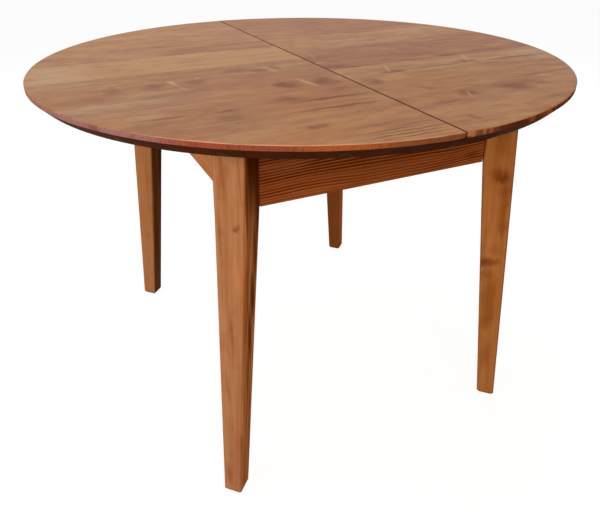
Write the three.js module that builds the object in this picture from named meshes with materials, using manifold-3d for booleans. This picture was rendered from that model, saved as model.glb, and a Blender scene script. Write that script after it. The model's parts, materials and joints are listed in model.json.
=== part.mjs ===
// Round extendable dining table in stained pine.
// Two half tops slide apart on geared runners over a four-apron frame with splayed, tapered
// legs, and a folded loose leaf lies on rails inside the frame.
// Millimetres, +Z up. The origin is on the floor under the middle of the table: +X is the way
// the right half opens, and +Y runs along the seam between the halves.

import * as THREE from 'three';
import { mergeVertices } from 'three/addons/utils/BufferGeometryUtils.js';
import Module from 'manifold-3d';

const wasm = await Module();
wasm.setup();

// ---------------------------------------------------------------- driving sizes

const tableHeight = 750;
const topDiameter = 1100;
const topThickness = 26;
const rimBand = 8.8;             // upright part of the rim, under the top surface
const rimBevelRun = 17.5;        // how far the rim slopes back in below the band
const topArris = 1.2;            // small chamfer round the upper edge
const seamGap = 1;               // between the two closed halves
const seamArris = 0.8;           // small chamfer along both sides of the seam
const halfTravel = 200;          // how far each half opens

const frameLength = 545;         // over the outer faces of the two end aprons, along X
const frameWidth = 691;          // over the outer faces of the front and back aprons, along Y
const apronThickness = 22;
const apronHeight = 131.5;

const legKneeWidth = 56.5;       // across the leg at the lower edge of the aprons
const legKneeDepth = 60.5;       // through the leg there, along the frame's corner diagonal
const legFootWidth = 37;
const legFootDepth = 38;
const legEdgeRadius = 6;
const footSpreadX = 48;          // centre of the foot beyond the frame's corner, along X
const footSpreadY = 38;          // and along Y
const footPadThickness = 2.5;
const footPadInset = 3;

const runnerThickness = 15;
const runnerHeight = 36;
const runnerInnerReach = 225;    // from the seam back past the pinion
const runnerOuterReach = 345;    // from the seam out under the half top
const runnerNose = 14;           // slope cut off the lower corner of both ends
const tongueHeight = 8;
const tongueDepth = 4.5;
const tongueLift = 15.5;         // lower side of the tongue above the runner's underside

const guideThickness = 19;
const guideHeight = 36;

const gearModule = 1.5;
const pinionTeeth = 16;
const pinionWidth = 7.5;
const pressureAngle = THREE.MathUtils.degToRad(20);
const rackWidth = 9;
const rackBacking = 2.6;         // strip left behind the roots of the rack's teeth
const rackEndMargin = 16;
const backlash = 0.3;
const axleRadius = 3;
const axleHeadRadius = 7;
const axleHeadHeight = 1.6;
const axleLength = 27;

const battenLength = 440;
const battenWidth = 38;
const battenHeight = 18;
const battenInset = 198;         // inner side of the batten from the end of the top

const cornerBlockLeg = 65;       // along each apron
const cornerBlockBlunt = 10;     // square end of each leg of the block
const cornerBlockHeight = 82;
const cornerBlockLift = 4;       // above the lower edge of the aprons

const boltRadius = 4;
const boltSpacing = 42;
const boltDepth = 34;            // length held in the leg
const washerRadius = 9;
const washerThickness = 1.6;
const nutRadius = 7.5;
const nutHeight = 6.5;
const boltEnd = 2;               // thread standing out of the nut

const railOffset = 150;          // middle of each cross rail from the table's middle, along X
const railWidth = 40;
const railThickness = 22;
const railLift = 18.5;           // above the lower edge of the aprons

const hingeLength = 70;
const hingePlateWidth = 24;
const hingePlateThickness = 1.8;
const hingeBarrelRadius = 3.5;
const hingeSpacing = 240;

const seamPins = 4;
const seamPinInset = 160;        // outer pins from the ends of the seam
const seamPinRadius = 4;
const seamPinLength = 34;
const seamPinProud = 15;
const seamPinNose = 2;

const catchStandOff = 84.5;      // catches from the outer faces of the aprons
const catchPivotSetback = 22;    // pivot and keeper from the middle of the seam
const catchWidth = 18;
const catchThickness = 4;
const catchTip = 10;             // lever beyond its slot
const catchTab = 8;              // finger tab turned down at the lever's end
const catchScrewRadius = 2.5;
const catchHeadRadius = 5.5;
const catchHeadHeight = 2.4;
const keeperPlateLength = 34;
const keeperPlateWidth = 24;
const keeperPlateThickness = 2;

// ---------------------------------------------------------------- clearances

const fixedGap = 0.3;            // between pieces fastened or resting on each other
const topRunGap = 0.5;           // between the sliding tops and the frame
const laneGap = 0.5;             // between a runner and its guide, or its notch
const leafGap = 0.5;             // between the two folded panels
const gearClearance = 1.7;       // round the pinion in its slot

// ---------------------------------------------------------------- worked-out sizes

const topRadius = topDiameter / 2;
const topUnderside = tableHeight - topThickness;
const frameTop = topUnderside - topRunGap;
const apronBottom = frameTop - apronHeight;
const cornerX = frameLength / 2;
const cornerY = frameWidth / 2;
const innerX = cornerX - apronThickness;
const innerY = cornerY - apronThickness;
const diagonal = Math.SQRT2;

const runnerBottom = topUnderside - fixedGap - runnerHeight;
const guideBottom = runnerBottom - laneGap;
const notchFloor = guideBottom - fixedGap;
const laneFace = guideThickness / 2 + laneGap;      // a runner's inner side from the guide's middle
const laneOuter = laneFace + runnerThickness;
const battenSetOut = topRadius - battenInset;
const seamPinSpacing = (topDiameter - 2 * seamPinInset) / (seamPins - 1);
const catchOffset = cornerY + catchStandOff;

const pitchRadius = gearModule * pinionTeeth / 2;
const toothPitch = Math.PI * gearModule;
const rackAddendum = 0.9 * gearModule;
const toothRoot = 1.25 * gearModule;
const rackDepth = toothRoot + rackBacking;          // from the pitch line to the strip's back
const rabbetDepth = pitchRadius - laneFace + rackDepth + fixedGap;
const rabbetHeight = rackWidth + 2 * fixedGap + laneGap;
const pinionBottom = guideBottom + fixedGap + axleHeadHeight + fixedGap;
const slotHalfLength = pitchRadius + gearModule + gearClearance;
const slotTop = pinionBottom + pinionWidth + gearClearance;

const leafWidth = 2 * halfTravel - seamGap;
const railTop = apronBottom + railLift + railThickness;
const leafBottom = railTop + fixedGap;
const foldHeight = leafBottom + topThickness + leafGap / 2;

const blockBottom = apronBottom + cornerBlockLift;
const boltHeights = [-0.5, 0.5].map((place) => blockBottom + cornerBlockHeight / 2 + place * boltSpacing);
const legInset = legKneeWidth / 2;                  // inner face of the leg from the frame's corner
const legFoot = footPadThickness + fixedGap;
const legRise = (frameTop - apronBottom) / (apronBottom - legFoot);
const legTopWidth = legKneeWidth + (legKneeWidth - legFootWidth) * legRise;
const legReach = (legInset + legTopWidth / 2) / diagonal;   // into the frame, from its corner

// middle of each guide from the table's middle: the runner beside it just passes the legs
const guideOffset = Math.floor(cornerY - legReach - laneGap - laneOuter);

// ---------------------------------------------------------------- materials

const finishes = {
  pine_top: [0xb0784f, 0.42, 0],
  pine_frame: [0xa3642f, 0.5, 0],
  beech: [0xc9a77c, 0.6, 0],
  steel: [0xb4b6b8, 0.35, 1],
  nylon: [0xe6e2d8, 0.5, 0],
  felt: [0x2b2622, 0.95, 0],
};

function finish(name) {
  const [color, roughness, metalness] = finishes[name];
  return new THREE.MeshStandardMaterial({ name, color, roughness, metalness });
}

// ---------------------------------------------------------------- helpers

function point(x, y) {
  return new THREE.Vector2(x, y);
}

function box(x0, x1, y0, y1, z0, z1) {
  const block = new THREE.BoxGeometry(x1 - x0, y1 - y0, z1 - z0);
  return block.translate((x0 + x1) / 2, (y0 + y1) / 2, (z0 + z1) / 2);
}

function prism(outline, z0, z1, steps = 1) {
  const options = { depth: z1 - z0, steps, bevelEnabled: false, curveSegments: 4 };
  const shape = outline instanceof THREE.Shape ? outline : new THREE.Shape(outline);
  return new THREE.ExtrudeGeometry(shape, options).translate(0, 0, z0);
}

// a section drawn in Y and Z, drawn out along X
function bar(section, x0, x1) {
  return prism(section, x0, x1).rotateY(Math.PI / 2).rotateX(Math.PI / 2);
}

// a section drawn in X and Z, drawn out along Y
function crossBar(section, y0, y1) {
  return prism(section, -y1, -y0).rotateX(Math.PI / 2);
}

function rod(radius, z0, z1, sides = 20) {
  const cylinder = new THREE.CylinderGeometry(radius, radius, z1 - z0, sides);
  return cylinder.rotateX(Math.PI / 2).translate(0, 0, (z0 + z1) / 2);
}

// a profile of radius and height, turned round Z
function turned(profile, segments) {
  return new THREE.LatheGeometry(profile, segments).rotateX(Math.PI / 2);
}

// a turned profile leaves triangles of no area on its axis
function withoutSlivers(indices) {
  const kept = [];
  for (let i = 0; i < indices.length; i += 3) {
    const [a, b, c] = indices.slice(i, i + 3);
    if (a !== b && b !== c && c !== a) kept.push(a, b, c);
  }
  return kept;
}

function solid(geometry) {
  const bare = new THREE.BufferGeometry();
  bare.setAttribute('position', geometry.getAttribute('position').clone());
  bare.setIndex(geometry.getIndex());
  const merged = mergeVertices(bare, 1e-4);
  const vertProperties = new Float32Array(merged.getAttribute('position').array);
  const triVerts = new Uint32Array(withoutSlivers(merged.getIndex().array));
  return new wasm.Manifold(new wasm.Mesh({ numProp: 3, vertProperties, triVerts }));
}

function geometryOf(body) {
  const { vertProperties, triVerts } = body.getMesh();
  const geometry = new THREE.BufferGeometry();
  geometry.setAttribute('position', new THREE.BufferAttribute(vertProperties, 3));
  geometry.setIndex(new THREE.BufferAttribute(triVerts, 1));
  geometry.computeVertexNormals();
  return geometry;
}

function cut(geometry, ...cutters) {
  return geometryOf(cutters.reduce((body, cutter) => body.subtract(solid(cutter)), solid(geometry)));
}

function join(geometry, ...others) {
  return geometryOf(others.reduce((body, other) => body.add(solid(other)), solid(geometry)));
}

// a copy mirrored in X and Y as the signs say, with its faces still pointing out
function mirrored(geometry, signX, signY) {
  const copy = geometryOf(solid(geometry)).scale(signX, signY, 1);
  if (signX * signY < 0) {
    const corners = copy.getIndex().array;
    for (let i = 0; i < corners.length; i += 3) {
      [corners[i + 1], corners[i + 2]] = [corners[i + 2], corners[i + 1]];
    }
  }
  copy.computeVertexNormals();
  return copy;
}

function piece(parent, name, geometry, finishName, x = 0, y = 0, z = 0) {
  const mesh = new THREE.Mesh(geometry, finish(finishName));
  mesh.name = name;
  mesh.position.set(x, y, z);
  parent.add(mesh);
  return mesh;
}

const corners = [
  { name: 'front_left', signX: -1, signY: -1 },
  { name: 'front_right', signX: 1, signY: -1 },
  { name: 'back_right', signX: 1, signY: 1 },
  { name: 'back_left', signX: -1, signY: 1 },
];

const sides = [
  { name: 'front', signY: -1 },
  { name: 'back', signY: 1 },
];

// ---------------------------------------------------------------- tops and leaf

// holes for the seam pins, along X from a face at the given place
function seamPinHoles(faceX, places) {
  const reach = seamPinLength - seamPinProud + 1;
  const radius = seamPinRadius + fixedGap;
  return places.map((y) => rod(radius, -reach, reach, 16)
    .rotateY(Math.PI / 2).translate(faceX, y, topThickness / 2));
}

const seamPinPlaces = Array.from({ length: seamPins }, (_, k) => (k - (seamPins - 1) / 2) * seamPinSpacing);

// the right half: its underside is at height 0 and it opens along +X
function halfTop() {
  const disc = turned([
    point(0, 0),
    point(topRadius - rimBevelRun, 0),
    point(topRadius, topThickness - rimBand),
    point(topRadius, topThickness - topArris),
    point(topRadius - topArris, topThickness),
    point(0, topThickness),
  ], 160);
  const reach = topRadius + 1;
  const otherHalf = box(-reach, seamGap / 2, -reach, reach, -1, topThickness + 1);
  const arris = crossBar([
    point(seamGap / 2 - 1, topThickness + 1),
    point(seamGap / 2 - 1, topThickness - seamArris - 1),
    point(seamGap / 2 + seamArris + 1, topThickness + 1),
  ], -reach, reach);
  return cut(disc, otherHalf, arris, ...seamPinHoles(seamGap / 2, seamPinPlaces));
}

// one panel of the loose leaf, top side up, with its fold edge at y = 0 and its rim at -Y
function leafPanel() {
  const section = [
    point(0, 0),
    point(0, topThickness),
    point(-topRadius + topArris, topThickness),
    point(-topRadius, topThickness - topArris),
    point(-topRadius, topThickness - rimBand),
    point(-topRadius + rimBevelRun, 0),
  ];
  const panel = bar(section, -leafWidth / 2, leafWidth / 2);
  const recesses = [-0.5, 0.5].map((place) => box(
    place * hingeSpacing - hingeLength / 2 - fixedGap,
    place * hingeSpacing + hingeLength / 2 + fixedGap,
    -hingePlateWidth - fixedGap, 10,
    -1, hingePlateThickness + fixedGap,
  ));
  const coves = [-0.5, 0.5].map((place) => rod(
    hingeBarrelRadius + fixedGap,
    place * hingeSpacing - hingeLength / 2 - fixedGap,
    place * hingeSpacing + hingeLength / 2 + fixedGap,
  ).rotateY(Math.PI / 2).translate(0, 0, -leafGap / 2));
  const places = seamPinPlaces.filter((y) => y < 0);
  const holes = [-1, 1].flatMap((side) => seamPinHoles(side * leafWidth / 2, places));
  return cut(panel, ...recesses, ...coves, ...holes);
}

function leafHinge() {
  const barrel = rod(hingeBarrelRadius, -hingeLength / 2, hingeLength / 2, 16).rotateY(Math.PI / 2);
  const thickness = hingePlateThickness + leafGap / 2 - fixedGap / 2;
  const plates = box(-hingeLength / 2, hingeLength / 2, -hingePlateWidth, 0, -thickness, thickness);
  return join(barrel, plates);
}

function addLeaf(parent) {
  const foldY = topRadius / 2;
  const upper = leafPanel();
  piece(parent, 'leaf_panel_upper', upper, 'pine_top', 0, foldY, foldHeight + leafGap / 2);
  const lower = upper.clone().rotateY(Math.PI);
  piece(parent, 'leaf_panel_lower', lower, 'pine_top', 0, foldY, foldHeight - leafGap / 2);
  for (const [name, place] of [['left', -0.5], ['right', 0.5]]) {
    piece(parent, `leaf_hinge_${name}`, leafHinge(), 'steel', place * hingeSpacing, foldY, foldHeight);
  }
}

// ---------------------------------------------------------------- runners, racks and gears

// guide side at y = 0 with the tongue beyond it, underside at height 0
function runner() {
  const section = [
    point(-rabbetDepth, 0),
    point(-runnerThickness, 0),
    point(-runnerThickness, runnerHeight),
    point(0, runnerHeight),
    point(0, tongueLift + tongueHeight),
    point(tongueDepth, tongueLift + tongueHeight),
    point(tongueDepth, tongueLift),
    point(0, tongueLift),
    point(0, rabbetHeight),
    point(-rabbetDepth, rabbetHeight),
  ];
  const noses = [[-1, runnerInnerReach], [1, runnerOuterReach]].map(([side, reach]) => crossBar([
    point(side * (reach + 1), -1),
    point(side * (reach - runnerNose - 1), -1),
    point(side * (reach + 1), runnerNose + 1),
  ], -runnerThickness - 1, tongueDepth + 1));
  return cut(bar(section, -runnerInnerReach, runnerOuterReach), ...noses);
}

// teeth point to +Y, with the pitch line at y = 0 and a tooth space at x = 0
function rack() {
  const first = -Math.ceil((halfTravel + rackEndMargin) / toothPitch);
  const last = Math.ceil(rackEndMargin / toothPitch);
  const slope = Math.tan(pressureAngle);
  const halfTooth = toothPitch / 4 - backlash / 2;
  const halfTip = halfTooth - rackAddendum * slope;
  const halfRoot = halfTooth + toothRoot * slope;
  const outline = [point(first * toothPitch, -rackDepth), point(first * toothPitch, -toothRoot)];
  for (let tooth = first; tooth < last; tooth += 1) {
    const middle = (tooth + 0.5) * toothPitch;
    outline.push(point(middle - halfRoot, -toothRoot), point(middle - halfTip, rackAddendum));
    outline.push(point(middle + halfTip, rackAddendum), point(middle + halfRoot, -toothRoot));
  }
  outline.push(point(last * toothPitch, -toothRoot), point(last * toothPitch, -rackDepth));
  return prism(outline, 0, rackWidth);
}

function involute(angle) {
  return Math.tan(angle) - angle;
}

// spur pinion with involute teeth, one of them centred on +X
function pinion() {
  const baseRadius = pitchRadius * Math.cos(pressureAngle);
  const tipRadius = pitchRadius + gearModule;
  const rootRadius = pitchRadius - toothRoot;
  const flank = [rootRadius, baseRadius, pitchRadius, (pitchRadius + tipRadius) / 2, tipRadius];
  const halfAngle = (radius) => {
    const pressure = Math.acos(Math.min(1, baseRadius / radius));
    return Math.PI / (2 * pinionTeeth) + involute(pressureAngle) - involute(pressure);
  };
  const outline = [];
  for (let tooth = 0; tooth < pinionTeeth; tooth += 1) {
    const middle = tooth * 2 * Math.PI / pinionTeeth;
    const rise = flank.map((radius) => [radius, middle - halfAngle(radius)]);
    const fall = flank.map((radius) => [radius, middle + halfAngle(radius)]).reverse();
    for (const [radius, angle] of [...rise, ...fall]) {
      outline.push(point(radius * Math.cos(angle), radius * Math.sin(angle)));
    }
  }
  return cut(prism(outline, 0, pinionWidth), rod(axleRadius + fixedGap, -1, pinionWidth + 1));
}

function pinionAxle() {
  return geometryOf(solid(turned([
    point(0, 0),
    point(axleHeadRadius, 0),
    point(axleHeadRadius, axleHeadHeight),
    point(axleRadius, axleHeadHeight),
    point(axleRadius, axleLength - 1),
    point(axleRadius - 1, axleLength),
    point(0, axleLength),
  ], 20)));
}

// grooved on both sides, with a slot for the pinion and a hole for its axle from below
function guide() {
  const half = guideThickness / 2;
  const web = half - tongueDepth - laneGap;
  const grooveTop = tongueLift + tongueHeight + 2 * laneGap;
  const side = [
    point(half, 0), point(half, tongueLift), point(web, tongueLift),
    point(web, grooveTop), point(half, grooveTop), point(half, guideHeight),
  ];
  const section = [...side, ...side.map(({ x, y }) => point(-x, y)).reverse()];
  const reach = cornerX - fixedGap;
  const slot = box(-slotHalfLength, slotHalfLength, -half - 1, half + 1, -1, slotTop - guideBottom);
  const hole = rod(axleRadius + fixedGap, 0, axleLength + 2 * fixedGap);
  return cut(bar(section, -reach, reach), slot, hole);
}

function addGuide(parent, { name, signY }) {
  const y = signY * guideOffset;
  piece(parent, `guide_rail_${name}`, guide(), 'beech', 0, y, guideBottom);
  piece(parent, `pinion_${name}`, pinion(), 'nylon', 0, y, pinionBottom);
  piece(parent, `pinion_axle_${name}`, pinionAxle(), 'steel', 0, y, guideBottom + fixedGap);
}

function batten() {
  const edge = battenHeight / 4;
  const section = [
    point(edge, 0), point(battenWidth - edge, 0), point(battenWidth, edge),
    point(battenWidth, battenHeight), point(0, battenHeight), point(0, edge),
  ];
  return crossBar(section, -battenLength / 2, battenLength / 2);
}

// one half of the table, as it lies on the right, with the pieces fastened under it
function addHalf(parent, name, turn) {
  const half = new THREE.Group();
  half.position.z = topUnderside;
  half.rotation.z = turn;
  parent.add(half);
  piece(half, `top_${name}`, halfTop(), 'pine_top');
  piece(half, `batten_${name}`, batten(), 'pine_frame', battenSetOut, 0, -fixedGap - battenHeight);
  for (const [lane, place] of [['outer', -1], ['inner', 1]]) {
    const faceY = place * guideOffset - laneFace;
    const z = -fixedGap - runnerHeight;
    piece(half, `runner_${name}_${lane}`, runner(), 'beech', 0, faceY, z);
    const pitchY = place * guideOffset - pitchRadius;
    piece(half, `rack_${name}_${lane}`, rack(), 'nylon', 0, pitchY, z + fixedGap);
  }
}

// ---------------------------------------------------------------- seam pins and catches

function seamPin() {
  return geometryOf(solid(turned([
    point(0, 0),
    point(seamPinRadius, 0),
    point(seamPinRadius, seamPinLength - seamPinNose),
    point(seamPinRadius - seamPinNose, seamPinLength),
    point(0, seamPinLength),
  ], 16).rotateY(Math.PI / 2)));
}

function addSeamPins(parent) {
  const x = seamPinProud - seamPinLength;
  seamPinPlaces.forEach((y, k) => {
    piece(parent, `seam_pin_${k + 1}`, seamPin(), 'beech', x, y, topUnderside + topThickness / 2);
  });
}

// flange under the top, shank, and head below the lever: heights are from the top's underside
function catchScrew() {
  const flangeBottom = -fixedGap - keeperPlateThickness;
  const headTop = flangeBottom - catchThickness - 2 * fixedGap;
  return turned([
    point(0, headTop - catchHeadHeight),
    point(catchHeadRadius - 1, headTop - catchHeadHeight),
    point(catchHeadRadius, headTop - catchHeadHeight + 1),
    point(catchHeadRadius, headTop),
    point(catchScrewRadius, headTop),
    point(catchScrewRadius, flangeBottom),
    point(catchHeadRadius, flangeBottom),
    point(catchHeadRadius, -fixedGap),
    point(0, -fixedGap),
  ], 16);
}

function catchKeeper() {
  const flangeBottom = -fixedGap - keeperPlateThickness;
  const halfLength = keeperPlateLength / 2;
  const halfWidth = keeperPlateWidth / 2;
  const plate = box(-halfWidth, halfWidth, -halfLength, halfLength, flangeBottom, -fixedGap);
  return join(catchScrew(), plate);
}

// pivot at the origin, pointing to +Y, with a slot on its +X side that hooks on the keeper
function catchLever() {
  const reach = 2 * catchPivotSetback;
  const half = catchWidth / 2;
  const swing = half * half / (2 * reach);
  const slotHalf = catchScrewRadius + fixedGap + swing;
  const end = reach + slotHalf + catchTip;
  const outline = new THREE.Shape();
  outline.absarc(0, 0, half, Math.PI, 2 * Math.PI);
  outline.lineTo(half, end);
  outline.lineTo(-half, end);
  const slot = box(-slotHalf, half + 1, reach - slotHalf, reach + slotHalf, -1, catchThickness + 1);
  const hole = rod(catchScrewRadius + fixedGap, -1, catchThickness + 1);
  const tab = box(-half, half, end - catchThickness, end, -catchTab, catchThickness / 2);
  return cut(join(prism(outline, 0, catchThickness), tab), slot, hole);
}

function addCatch(parent, { name, signY }) {
  const y = signY * catchOffset;
  const leverZ = topUnderside - 2 * fixedGap - keeperPlateThickness - catchThickness;
  const lever = mirrored(catchLever(), 1, -signY);
  piece(parent, `catch_${name}`, lever, 'steel', -catchPivotSetback, y, leverZ);
  const pivot = geometryOf(solid(catchScrew()));
  piece(parent, `catch_pivot_${name}`, pivot, 'steel', -catchPivotSetback, y, topUnderside);
  piece(parent, `catch_keeper_${name}`, catchKeeper(), 'steel', catchPivotSetback, y, topUnderside);
}

// ---------------------------------------------------------------- frame

// a rod along +X turned to the corner's diagonal
function diagonalRod(radius, from, to, sidesRound = 16) {
  return rod(radius, from, to, sidesRound).rotateY(Math.PI / 2).rotateZ(Math.PI / 4);
}

// plan of an apron lying along X with its outer face to +Y: its ends are cut back square to
// the corner's diagonal, where the leg stands, and mitred to the next apron behind that
function apronPlan(halfLength, outerFace) {
  const legPlane = halfLength + outerFace - (legInset + fixedGap) * diagonal;
  const mitrePlane = halfLength - outerFace - fixedGap;
  const innerFace = outerFace - apronThickness;
  const outer = point(legPlane - outerFace, outerFace);
  const tip = point((legPlane + mitrePlane) / 2, (legPlane - mitrePlane) / 2);
  const ends = tip.y > innerFace
    ? [outer, tip, point(mitrePlane + innerFace, innerFace)]
    : [outer, point(legPlane - innerFace, innerFace)];
  return [...ends, ...ends.map(({ x, y }) => point(-x, y)).reverse()];
}

function apron(halfLength, outerFace) {
  const holes = boltHeights.flatMap((z) => {
    const hole = diagonalRod(boltRadius + fixedGap, -3 * apronThickness, 1);
    return [-1, 1].map((side) => mirrored(hole, side, 1).translate(side * halfLength, outerFace, z));
  });
  return cut(prism(apronPlan(halfLength, outerFace), apronBottom, frameTop), ...holes);
}

// the end aprons are cut down at both ends, where the guides rest and the runners pass
function notchedApron(halfLength, outerFace) {
  const inner = guideOffset - laneOuter - laneGap;
  const notches = [-1, 1].map((side) => {
    const [s0, s1] = [side * inner, side * (halfLength + 1)].sort((a, b) => a - b);
    return box(s0, s1, outerFace - apronThickness - 1, outerFace + 1, notchFloor, frameTop + 1);
  });
  return cut(apron(halfLength, outerFace), ...notches);
}

function addAprons(parent) {
  const aprons = [
    ['apron_back', apron(cornerX, cornerY), 0],
    ['apron_left', notchedApron(cornerY, cornerX), 0.5],
    ['apron_front', apron(cornerX, cornerY), 1],
    ['apron_right', notchedApron(cornerY, cornerX), 1.5],
  ];
  for (const [name, geometry, halfTurns] of aprons) {
    piece(parent, name, geometry, 'pine_frame').rotation.z = halfTurns * Math.PI;
  }
}

function roundedSquare(side, radius) {
  const reach = side / 2 - radius;
  const shape = new THREE.Shape();
  shape.absarc(reach, reach, radius, 0, Math.PI / 2);
  shape.absarc(-reach, reach, radius, Math.PI / 2, Math.PI);
  shape.absarc(-reach, -reach, radius, Math.PI, 1.5 * Math.PI);
  shape.absarc(reach, -reach, radius, 1.5 * Math.PI, 2 * Math.PI);
  return shape;
}

// the leg's section at the foot, at the lower edge of the aprons and at the top: inner and
// outer are along the diagonal from the frame's corner, and lean is across it
function legLevels() {
  const footMiddle = (footSpreadX + footSpreadY) / diagonal;
  const foot = {
    z: legFoot,
    inner: footMiddle - legFootDepth / 2,
    outer: footMiddle + legFootDepth / 2,
    lean: (footSpreadY - footSpreadX) / diagonal,
    width: legFootWidth,
  };
  const knee = {
    z: apronBottom,
    inner: -legInset,
    outer: -legInset + legKneeDepth,
    lean: 0,
    width: legKneeWidth,
  };
  const top = {
    z: frameTop,
    inner: -legInset,
    outer: knee.outer + (knee.outer - foot.outer) * legRise,
    lean: 0,
    width: legTopWidth,
  };
  return [foot, knee, top];
}

// a square bar stretched to the leg's levels: its outer face is straight from foot to top,
// and its inner face is upright beside the aprons and tapers below them
function leg() {
  const levels = legLevels();
  const square = roundedSquare(1, legEdgeRadius / legKneeWidth);
  const stretched = prism(square, 0, levels.length - 1, levels.length - 1);
  const places = stretched.getAttribute('position');
  for (let i = 0; i < places.count; i += 1) {
    const { z, inner, outer, lean, width } = levels[Math.round(places.getZ(i))];
    const middle = (inner + outer) / 2;
    places.setXYZ(i, middle + places.getX(i) * (outer - inner), lean + places.getY(i) * width, z);
  }
  const holes = boltHeights.map((z) => rod(
    boltRadius + fixedGap, -legInset - 1, -legInset + boltDepth + fixedGap, 16,
  ).rotateY(Math.PI / 2).translate(0, 0, z));
  return cut(stretched, ...holes).rotateZ(Math.PI / 4);
}

// glued and bolted into the inside of each corner: drawn from the frame's corner inwards
const blockCorner = -apronThickness - fixedGap;
const blockFace = (2 * blockCorner - cornerBlockLeg - cornerBlockBlunt) / diagonal;

function cornerBlock() {
  const near = blockCorner - cornerBlockBlunt;
  const far = blockCorner - cornerBlockLeg;
  const plan = [
    point(blockCorner, blockCorner), point(far, blockCorner), point(far, near),
    point(near, far), point(blockCorner, far),
  ];
  const block = prism(plan, blockBottom, blockBottom + cornerBlockHeight);
  const holes = boltHeights.map((z) => diagonalRod(boltRadius + fixedGap, blockFace - 5, 0)
    .translate(0, 0, z));
  return cut(block, ...holes);
}

function legBolt() {
  const washerOuter = blockFace - fixedGap - washerThickness;
  const nutOuter = washerOuter - nutHeight;
  const shank = rod(boltRadius, nutOuter - boltEnd, -legInset + boltDepth, 12);
  const washer = rod(washerRadius, washerOuter, washerOuter + washerThickness, 16);
  const nut = rod(nutRadius, nutOuter, washerOuter, 6);
  return join(shank, washer, nut).rotateY(Math.PI / 2);
}

function footPad() {
  const shape = roundedSquare(1, legEdgeRadius / legKneeWidth);
  const pad = prism(shape, 0, footPadThickness);
  return pad.scale(legFootDepth - 2 * footPadInset, legFootWidth - 2 * footPadInset, 1);
}

function addCorner(parent, { name, signX, signY }) {
  const x = signX * cornerX;
  const y = signY * cornerY;
  const outward = Math.atan2(signY, signX);
  piece(parent, `leg_${name}`, mirrored(leg(), signX, signY), 'pine_frame', x, y);
  piece(parent, `corner_block_${name}`, mirrored(cornerBlock(), signX, signY), 'pine_frame', x, y);
  for (const [place, z] of [['lower', boltHeights[0]], ['upper', boltHeights[1]]]) {
    piece(parent, `leg_bolt_${name}_${place}`, legBolt(), 'steel', x, y, z).rotation.z = outward;
  }
  const footX = signX * (cornerX + footSpreadX);
  const footY = signY * (cornerY + footSpreadY);
  const pad = geometryOf(solid(footPad()));
  piece(parent, `foot_pad_${name}`, pad, 'felt', footX, footY).rotation.z = outward;
}

function crossRail() {
  const edge = railThickness / 6;
  const half = railWidth / 2;
  const section = [
    point(-half + edge, 0), point(half - edge, 0), point(half, edge),
    point(half, railThickness), point(-half, railThickness), point(-half, edge),
  ];
  const reach = innerY - fixedGap;
  return crossBar(section, -reach, reach);
}

// ---------------------------------------------------------------- the table

const table = new THREE.Group();
addHalf(table, 'right', 0);
addHalf(table, 'left', Math.PI);
addSeamPins(table);
for (const side of sides) {
  addGuide(table, side);
  addCatch(table, side);
}
addAprons(table);
for (const corner of corners) addCorner(table, corner);
piece(table, 'cross_rail_left', crossRail(), 'pine_frame', -railOffset, 0, railTop - railThickness);
piece(table, 'cross_rail_right', crossRail(), 'pine_frame', railOffset, 0, railTop - railThickness);
addLeaf(table);

export default table;
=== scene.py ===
"""Looks of the round extendable pine table: stained pine, runners, hardware, light and camera.

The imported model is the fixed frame, and every position comes from it. Wooden nodes get a copy,
with eased edges where the CAD's are sharp; seam pins, nylon, steel and felt are painted on the
CAD's own meshes. All materials are procedural. Metres and +Z up, but the looks are laid out in
millimetres.
"""

import json
import math

import bmesh
import bpy
from mathutils import Matrix, Vector


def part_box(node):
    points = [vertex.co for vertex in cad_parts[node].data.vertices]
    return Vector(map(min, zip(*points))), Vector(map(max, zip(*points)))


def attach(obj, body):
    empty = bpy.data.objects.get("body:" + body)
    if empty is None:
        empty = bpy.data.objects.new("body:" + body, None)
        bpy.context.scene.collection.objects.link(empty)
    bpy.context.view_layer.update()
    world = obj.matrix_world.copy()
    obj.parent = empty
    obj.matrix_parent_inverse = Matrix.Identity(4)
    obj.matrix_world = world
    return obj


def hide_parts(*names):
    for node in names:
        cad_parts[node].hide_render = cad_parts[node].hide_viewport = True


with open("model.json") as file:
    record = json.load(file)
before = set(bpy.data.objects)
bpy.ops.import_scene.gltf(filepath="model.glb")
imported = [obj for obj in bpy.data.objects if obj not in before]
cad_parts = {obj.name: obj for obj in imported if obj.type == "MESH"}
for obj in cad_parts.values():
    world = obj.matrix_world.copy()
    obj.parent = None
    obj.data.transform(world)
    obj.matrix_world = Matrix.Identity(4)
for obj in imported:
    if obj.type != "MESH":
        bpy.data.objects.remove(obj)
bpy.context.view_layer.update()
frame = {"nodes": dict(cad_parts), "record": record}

MM = 0.001
PER_METRE = 1000.0
record = frame["record"]
slot_of = {part["node"]: part["material_slot"] for part in record["subparts"]}
body_of = {node: body for body, nodes in record["behaviour"]["bodies"].items() for node in nodes}

# ---------------------------------------------------------------- camera, light and floor

CAMERA_PLACE = (-0.5387, -1.1483, 1.0136)
CAMERA_AZIMUTH = -24.586         # degrees, 0 looks along +Y
CAMERA_PITCH = -28.17
CAMERA_ROLL = -0.31
CAMERA_LENS = 34.60              # mm on a 36 mm wide sensor
CAMERA_SHIFT = (0.0094, -0.0430)  # the framing is not centred on the lens axis
SENSOR_WIDTH = 36.0              # mm
VIEW_REACH = 50.0                # m

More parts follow.
